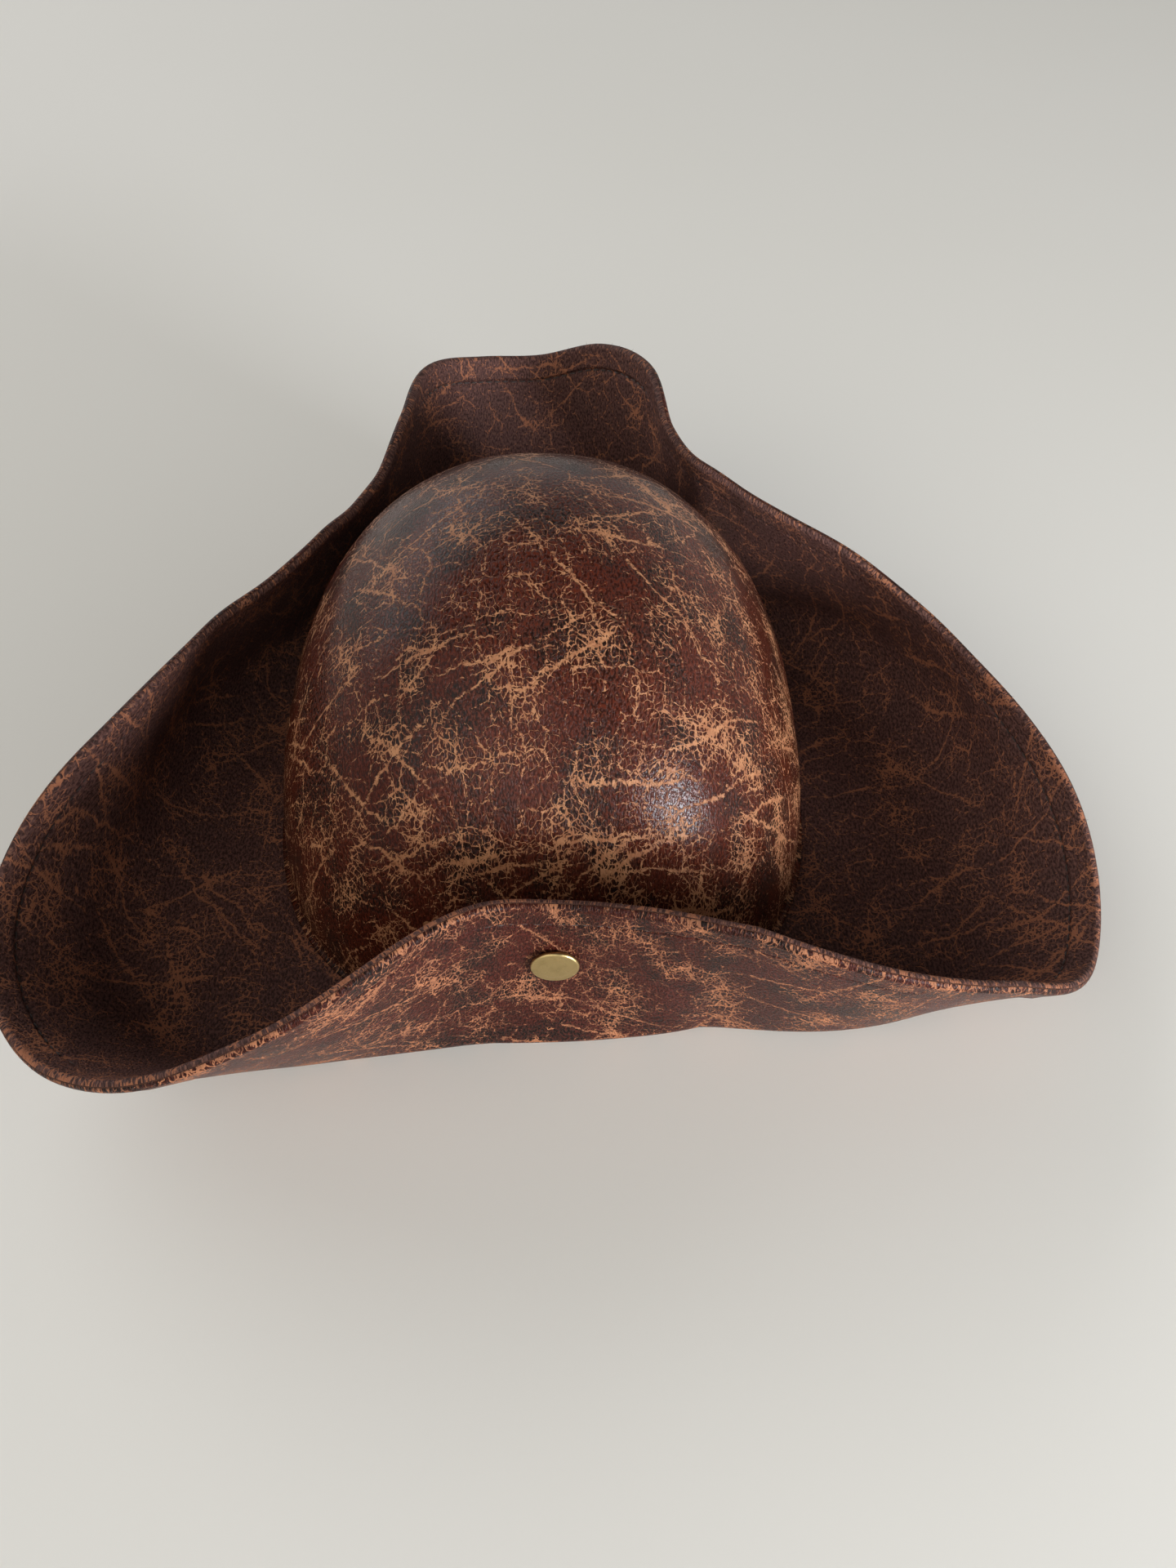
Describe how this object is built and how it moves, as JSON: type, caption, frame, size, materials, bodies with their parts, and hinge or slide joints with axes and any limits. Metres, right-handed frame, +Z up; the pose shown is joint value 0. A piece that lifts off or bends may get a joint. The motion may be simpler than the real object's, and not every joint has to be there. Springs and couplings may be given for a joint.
{
  "type": "tricorn hat",
  "caption": "Brown distressed-leather tricorn hat with a tall smooth dome crown, a wide hemmed brim turned up in flaps and brass snaps that hold the flaps up.",
  "frame": {"origin": "middle of the hat's outline seen from above, on the flat underside of the brim that it rests on", "axes": "+Z up through the crown; -Y towards the low flap with the visible snap; +Y towards the raised spout; +X to the right of a viewer who faces that flap"},
  "size_m": [0.3162, 0.2712, 0.116],
  "materials": {
    "crown_leather": "semi-gloss distressed faux leather, red-brown with charcoal patches and tan crackle",
    "brim_leather": "semi-gloss distressed faux leather, dark red-brown with charcoal patches and tan crackle",
    "brass": "satin pale brass"
  },
  "bodies": {
    "root": {"crown": "crown_leather", "brim": "brim_leather", "snap_front": "brass", "snap_left": "brass", "snap_right": "brass"}
  },
  "joints": []
}
